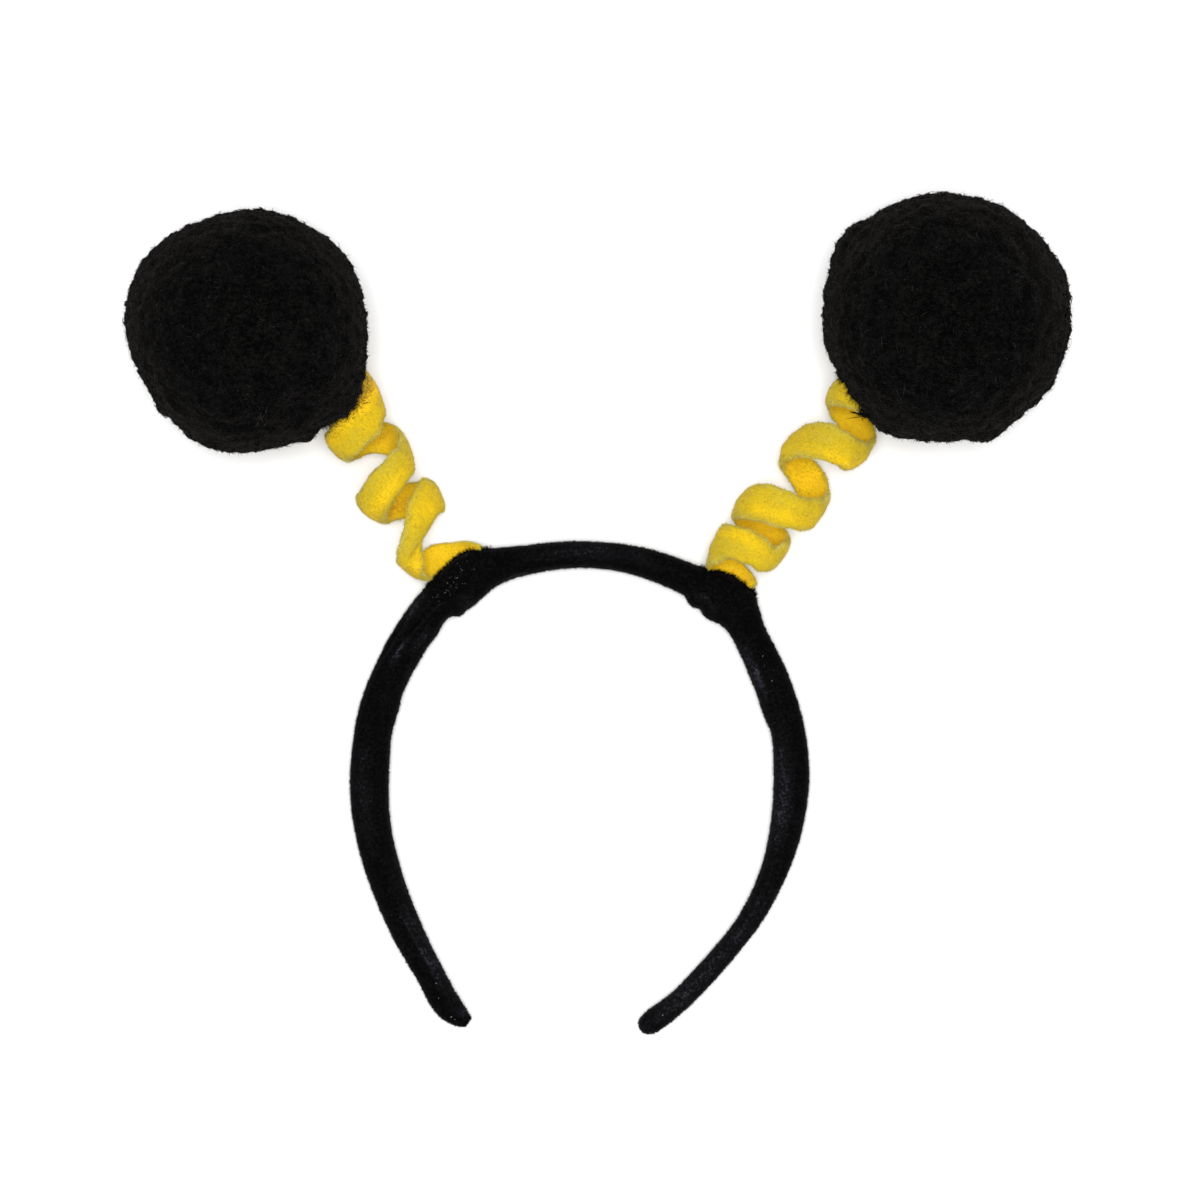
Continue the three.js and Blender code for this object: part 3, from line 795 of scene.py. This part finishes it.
def strip_surface(row, creases, painted_shading):
    """A flat padded strip wound on its axis from the ball to the band."""
    top, axis = np.array(row["top"]), coil_axis(row)
    side = unit(np.cross(UP, axis))
    rise = np.cross(axis, side)
    steps = round((row["last"] - row["first"]) * STRIP_STEPS_PER_TURN)
    turn = np.linspace(row["first"], row["last"], steps)

    def radial(turns):
        angle = turns[:, None] * 2 * math.pi
        return side * np.cos(angle) + rise * np.sin(angle)

    def middle(turns):
        along, out, _, _ = smooth_table(row["windings"], turns)
        return top + along[:, None] * axis + out[:, None] * radial(turns)

    heading = unit(middle(turn + HEADING_STEP) - middle(turn - HEADING_STEP))
    across = unit(np.cross(radial(turn), heading))
    outward = np.cross(heading, across)
    _, _, lean, wide = smooth_table(row["windings"], turn)
    tip = -np.radians(lean)[:, None]
    across, outward = (
        across * np.cos(tip) + outward * np.sin(tip),
        outward * np.cos(tip) - across * np.sin(tip),
    )
    share, face = strip_outline()
    out = (STRIP_THICK / 2 - STRIP_STAND) * face + STRIP_BOW * (1 - share**2)
    spread = (wide[:, None] / 2 - STRIP_STAND) * share
    rings = middle(turn)[:, None] + spread[..., None] * across[:, None] + out[:, None] * outward[:, None]
    height, length = STRIP_WAVES
    waves = wander(rings, length, WAVE_SEED)
    puckers = wander(rings, length, PUCKER_SEED) * share**PUCKER_POWER
    sunk = crease_depth(creases, turn, share, wide) * (face > 0)
    rings += outward[:, None] * (height * waves - sunk)[..., None]
    rings += across[:, None] * (STRIP_PUCKER * puckers)[..., None]
    step = np.linalg.norm(np.diff(middle(turn), axis=0), axis=1)
    run = np.concatenate([[0], np.cumsum(step)])
    along = np.broadcast_to(run[:, None], spread.shape)
    return tube(rings, along, spread, strip_tone(turn, painted_shading))


def coil(side, base):
    roots, out, cloth, shade = scatter(base, VELOUR_NAP.count)
    tones = shade + rng.normal(0, VELOUR_STRAY, len(roots))
    nap = straight(VELOUR_NAP, roots, out, tones, cloth, YELLOW_ROOTS)
    share, _ = strip_outline()
    ring_count = (len(base.points) - 2) // STRIP_SIDES
    edges = np.append(np.tile(share**FUZZ_POWER + FACE_FUZZ, ring_count), (0, 0))
    roots, out, cloth, _ = scatter(base, VELOUR_FUZZ.count, edges)
    # Pale fuzz, thickest at the edges, is painted sheen
    tones = rng.uniform(*VELOUR_FUZZ_TONES, len(roots))
    fuzz = straight(VELOUR_FUZZ, roots, out, tones, cloth, YELLOW_ROOTS)
    piece = add_piece(f"coil_{side}_velour", join(base, nap, fuzz), "velour")
    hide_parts(f"coil_{side}")


# The balls

def ball_directions():
    """Points and triangles of a fine round ball."""
    shape = bmesh.new()
    bmesh.ops.create_icosphere(shape, subdivisions=BALL_SUBDIVISIONS, radius=1.0)
    points = unit(np.array([vertex.co for vertex in shape.verts]))
    faces = np.array([[vertex.index for vertex in face.verts] for face in shape.faces])
    shape.free()
    return points, faces


def toward(round_degrees, up_degrees):
    """The unit direction at degrees round from +X and up from level."""
    turn, up = math.radians(round_degrees), math.radians(up_degrees)
    return np.array([math.cos(up) * math.cos(turn), math.cos(up) * math.sin(turn), math.sin(up)])


def apart(directions, middle):
    """The angle of each direction from a middle one."""
    return np.arccos(np.clip(directions @ middle, -1, 1))


def ball_surface(row, seed):
    """The ball's backing, in soft clumps."""
    directions, faces = ball_directions()
    draw = np.random.default_rng(seed)
    height = 1 - (2 * np.arange(LOCK_COUNT) + 1) / LOCK_COUNT
    around = np.arange(LOCK_COUNT) * GOLDEN_ANGLE
    level = np.sqrt(1 - height**2)
    locks = np.column_stack([level * np.cos(around), level * np.sin(around), height])
    locks = unit(locks + draw.normal(0, LOCK_STRAY, locks.shape))
    rises = LOCK_RISE * draw.uniform(*LOCK_SHARES, LOCK_COUNT)
    clump = (rises * hill(np.arccos(np.clip(directions @ locks.T, -1, 1)), LOCK_REACH)).max(1)
    radius = row["radius"] - PILE_STAND - LOCK_RISE + clump
    radius += CLUMP_WAVES[0] * wander(directions * row["radius"], CLUMP_WAVES[1], seed)
    for turn, up, depth, wide in row["dents"]:
        radius -= depth * hill(apart(directions, toward(turn, up)), math.radians(wide))
    points = np.array(row["centre"]) + directions * radius[:, None]
    points[:, 2] = np.maximum(points[:, 2], 0)
    cloth = directions * (1, 1, 0)
    corners = directions[faces]
    upper = corners[..., 2].mean(1) > 0
    middles = np.where(upper[:, None], *BALL_MAP_MIDDLES)
    places = corners[..., :2] * BALL_MAP_RADIUS + middles[:, None]
    places[..., 1] *= SURFACE_SHARE
    # Painted shade: the backing is darker in the hollows between clumps
    tone = PLUSH_TONE * (PLUSH_LOW + (1 - PLUSH_LOW) * clump / LOCK_RISE)
    return Surface(points, faces, places, cloth, tone)


def curls(pile, base, seed, tones, lift):
    """Fibres that arch over the ball in swirls and come back down to it."""
    roots, out, cloth, _ = scatter(base, pile.count)
    swirl = np.stack([wander(roots, SWIRL_WIDTH, seed + k) for k in range(3)], 1)
    swirl += rng.normal(0, SWIRL_STRAY, swirl.shape)
    along = unit(swirl - out * (swirl * out).sum(1, keepdims=True))
    directions = unit(along + lift * out)
    sideways = np.cross(out, along) * rng.normal(0, CURL_SIDEWAYS, (len(roots), 1))
    bends = sideways - out * (directions * out).sum(1, keepdims=True)
    return fibres(pile, roots, directions, bends, tones, cloth, BLACK_ROOTS)


def tuft(row, base, round_degrees, up_degrees, grow_round, grow_up, length, spread, tone):
    """A few thick fibres that stand out together from the ball."""
    count = PLUSH_TUFT.count
    pile = replace(PLUSH_TUFT, length=tuple(share * length for share in PLUSH_TUFT.length))
    start = np.array(row["centre"]) + toward(round_degrees, up_degrees) * row["radius"]
    chosen, _ = nearest(start + rng.normal(0, spread, (count, 3)), base.points)
    roots, cloth = base.points[chosen], base.cloth[chosen]
    directions = sway(np.tile(toward(grow_round, grow_up), (count, 1)), pile.sway)
    bends = rng.normal(0, TUFT_BEND, (count, 3))
    return fibres(pile, roots, directions, bends, np.full(count, tone), cloth, BLACK_ROOTS)


def shed(pile, base, strip):
    """Fuzz of the ball that clings to its strip near it."""
    _, gap = nearest(strip.points, base.points)
    above = vertex_normals(strip)[:, 2] > 0
    roots, out, cloth, _ = scatter(strip, pile.count, hill(gap, SHED_REACH) * above)
    tones = rng.uniform(*FRINGE_TONES, len(roots))
    return straight(pile, roots, out, tones, cloth, BLACK_ROOTS)


def pompom(side, row, strip, seed):
    base = ball_surface(row, seed)
    count = PLUSH_CURLS.count
    lit = rng.random(count) < LIT_CURLS
    tones = np.where(lit, rng.uniform(*LIT_CURL_TONES, count), rng.uniform(*CURL_TONES, count))
    pile = curls(PLUSH_CURLS, base, seed, tones, CURL_LIFT)
    roots, out, cloth, _ = scatter(base, PLUSH_FUZZ.count)
    tones = rng.uniform(*PLUSH_FUZZ_TONES, len(roots))
    bends = rng.normal(0, FUZZ_BEND, out.shape)
    fuzz = fibres(PLUSH_FUZZ, roots, sway(out, PLUSH_FUZZ.sway), bends, tones, cloth, BLACK_ROOTS)
    tones = rng.uniform(*STRAY_TONES, PLUSH_STRAYS.count)
    strays = curls(PLUSH_STRAYS, base, seed, tones, STRAY_LIFT)
    tufts = [tuft(row, base, *values) for values in TUFTS[side]]
    edge = fringe(PLUSH_FRINGE, base, strip, PLUSH_REACH, coil_axis(COILS[side]))
    cling = shed(PLUSH_SHED[side], base, strip)
    piece = add_piece(f"pompom_{side}_plush", join(base, pile, fuzz, strays, edge, cling, *tufts), "plush")
    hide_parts(f"pompom_{side}")


# Materials

def new_material(name):
    material = bpy.data.materials.new(name)
    material.use_nodes = True
    return material, material.node_tree, material.node_tree.nodes["Principled BSDF"]


def node(tree, kind, **inputs):
    """A new node, with values or links for its named inputs."""
    made = tree.nodes.new(kind)
    for name, value in inputs.items():
        socket = made.inputs[name.replace("_", " ")]
        if isinstance(value, bpy.types.NodeSocket):
            tree.links.new(value, socket)
        else:
            socket.default_value = value
    return made


def ramp(tree, factor, stops):
    """A colour ramp through stops of place and colour."""
    made = node(tree, "ShaderNodeValToRGB", Fac=factor)
    elements = made.color_ramp.elements
    elements[0].position, elements[1].position = stops[0][0], stops[-1][0]
    elements[0].color, elements[1].color = (*stops[0][1], 1), (*stops[-1][1], 1)
    for place, colour in stops[1:-1]:
        elements.new(place).color = (*colour, 1)
    return made.outputs["Color"]


def attribute(tree, name):
    made = tree.nodes.new("ShaderNodeAttribute")
    made.attribute_name = name
    return made


def add_scaled(tree, value, scale, base):
    """A value times a scale, added to a base."""
    made = tree.nodes.new("ShaderNodeMath")
    made.operation = "MULTIPLY_ADD"
    tree.links.new(value, made.inputs[0])
    made.inputs[1].default_value = scale
    tree.links.new(base, made.inputs[2])
    return made.outputs["Value"]


def evened(tree, noise):
    """A noise's middle values spread from -1 to 1."""
    low, high = NOISE_MIDDLE
    limits = {"From_Min": low, "From_Max": high, "To_Min": -1.0, "To_Max": 1.0}
    return node(tree, "ShaderNodeMapRange", Value=noise, **limits).outputs["Result"]


def knit_dots(tree, place, spacings):
    """Rows of soft dots, at spacings along and across the cloth."""
    rows = []
    for spacing, direction in zip(spacings, "XY"):
        scale = WAVE_PERIOD / spacing
        row = node(tree, "ShaderNodeTexWave", Vector=place, Scale=scale, Distortion=KNIT_DISTORTION)
        row.bands_direction = direction
        rows.append(row)
    both = tree.nodes.new("ShaderNodeMath")
    both.operation = "MULTIPLY"
    for row, socket in zip(rows, both.inputs):
        tree.links.new(row.outputs["Fac"], socket)
    return both.outputs["Value"]


def cloth_material(name):
    """A cloth's material: tone from the mesh with mottling, and roughness and bump from a fine grain."""
    cloth = CLOTHS[name]
    material, tree, shader = new_material(name)
    place = tree.nodes.new("ShaderNodeTexCoord").outputs["Object"]
    grain = node(tree, "ShaderNodeTexNoise", Vector=place, Scale=cloth.grain_scale, Detail=GRAIN_DETAIL)
    tone = attribute(tree, "tone").outputs["Fac"]
    for scale, swing in cloth.mottles:
        mottle = node(tree, "ShaderNodeTexNoise", Vector=place, Scale=scale, Detail=MOTTLE_DETAIL)
        tone = add_scaled(tree, evened(tree, mottle.outputs["Fac"]), swing, tone)
    if cloth.knit:
        *spacings, share = cloth.knit
        dots = knit_dots(tree, attribute(tree, "cloth").outputs["Vector"], spacings)
        tone = add_scaled(tree, dots, share, tone)
    rough = node(tree, "ShaderNodeMapRange", Value=grain.outputs["Fac"])
    rough.inputs["To Min"].default_value, rough.inputs["To Max"].default_value = cloth.roughness
    bump = node(tree, "ShaderNodeBump", Height=grain.outputs["Fac"], Distance=cloth.grain_depth)
    tree.links.new(ramp(tree, tone, cloth.colours), shader.inputs["Base Color"])
    tree.links.new(rough.outputs["Result"], shader.inputs["Roughness"])
    tree.links.new(bump.outputs["Normal"], shader.inputs["Normal"])
    for socket, value in cloth.constants.items():
        shader.inputs[socket].default_value = value
    return material


# Pieces in the frame

def add_piece(name, surface, cloth_name):
    """A mesh in the frame from a surface, of a cloth and riding on the part."""
    mesh = bpy.data.meshes.new(name)
    mesh.vertices.add(len(surface.points))
    mesh.vertices.foreach_set("co", ((surface.points + HOLLOW) * MM).astype(np.float32).ravel())
    mesh.loops.add(surface.faces.size)
    mesh.loops.foreach_set("vertex_index", surface.faces.astype(np.int32).ravel())
    mesh.polygons.add(len(surface.faces))
    mesh.polygons.foreach_set("loop_start", np.arange(0, surface.faces.size, 3, dtype=np.int32))
    mesh.update(calc_edges=True)
    mesh.validate()
    mesh.shade_smooth()
    tone = mesh.attributes.new("tone", "FLOAT", "POINT")
    tone.data.foreach_set("value", surface.tone.astype(np.float32))
    cloth = mesh.attributes.new("cloth", "FLOAT_VECTOR", "POINT")
    cloth.data.foreach_set("vector", surface.cloth.astype(np.float32).ravel())
    places = mesh.uv_layers.new(name="OFBake")
    places.uv.foreach_set("vector", surface.places.astype(np.float32).ravel())
    mesh.materials.append(cloth_material(cloth_name))
    piece = bpy.data.objects.new(name, mesh)
    bpy.context.scene.collection.objects.link(piece)
    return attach(piece, "root")


# Camera, floor and light

def camera():
    offset = np.array([PHOTO_SIDE / 2 - PHOTO_HOLLOW[0], PHOTO_HOLLOW[1] - PHOTO_SIDE / 2, 0]) * PIXEL
    data = bpy.data.cameras.new("camera")
    data.sensor_width = SENSOR
    data.lens = SENSOR * (CAMERA_HEIGHT - SCALE_HEIGHT) / (PHOTO_SIDE * PIXEL)
    made = bpy.data.objects.new("camera", data)
    made.location = (HOLLOW + offset + CAMERA_HEIGHT * UP) * MM
    bpy.context.scene.collection.objects.link(made)
    bpy.context.scene.camera = made


def floor():
    mesh = bpy.data.meshes.new("floor")
    half = FLOOR_SIDE / 2
    corners = [(-half, -half, 0), (half, -half, 0), (half, half, 0), (-half, half, 0)]
    mesh.from_pydata(corners, [], [(0, 1, 2, 3)])
    material, tree, shader = new_material("floor")
    place = tree.nodes.new("ShaderNodeTexCoord").outputs["Object"]
    mottle = node(tree, "ShaderNodeTexNoise", Vector=place, Scale=FLOOR_MOTTLE, Detail=GRAIN_DETAIL)
    colour = ramp(tree, mottle.outputs["Fac"], FLOOR_COLOURS)
    tree.links.new(colour, shader.inputs["Base Color"])
    shader.inputs["Roughness"].default_value = FLOOR_ROUGHNESS
    shader.inputs["Specular IOR Level"].default_value = FLOOR_SHINE
    mesh.materials.append(material)
    made = bpy.data.objects.new("floor", mesh)
    made.location.z = -FLOOR_GAP
    bpy.context.scene.collection.objects.link(made)


def softbox(name, place, aim, side, power):
    """A square area light that faces a point."""
    data = bpy.data.lights.new(name, "AREA")
    data.size = side
    data.energy = power
    made = bpy.data.objects.new(name, data)
    made.location = place
    made.rotation_euler = (Vector(aim) - Vector(place)).to_track_quat("-Z", "Y").to_euler()
    bpy.context.scene.collection.objects.link(made)


def lighting():
    world = bpy.data.worlds.new("studio")
    world.use_nodes = True
    sky = world.node_tree.nodes["Background"]
    sky.inputs["Color"].default_value = (1, 1, 1, 1)
    sky.inputs["Strength"].default_value = WORLD_LIGHT
    bpy.context.scene.world = world
    for light in LIGHTS:
        softbox(*light)
    bpy.context.scene.view_settings.view_transform = "Standard"


camera()
floor()
lighting()
strips = {side: strip_surface(row, STRIP_CREASES[side], PAINTED_STRIP_SHADING[side]) for side, row in COILS.items()}
headband(strips)
for side, base in strips.items():
    coil(side, base)
for seed, (side, row) in enumerate(POMPOMS.items(), start=BALL_SEED):
    pompom(side, row, strips[side], seed)
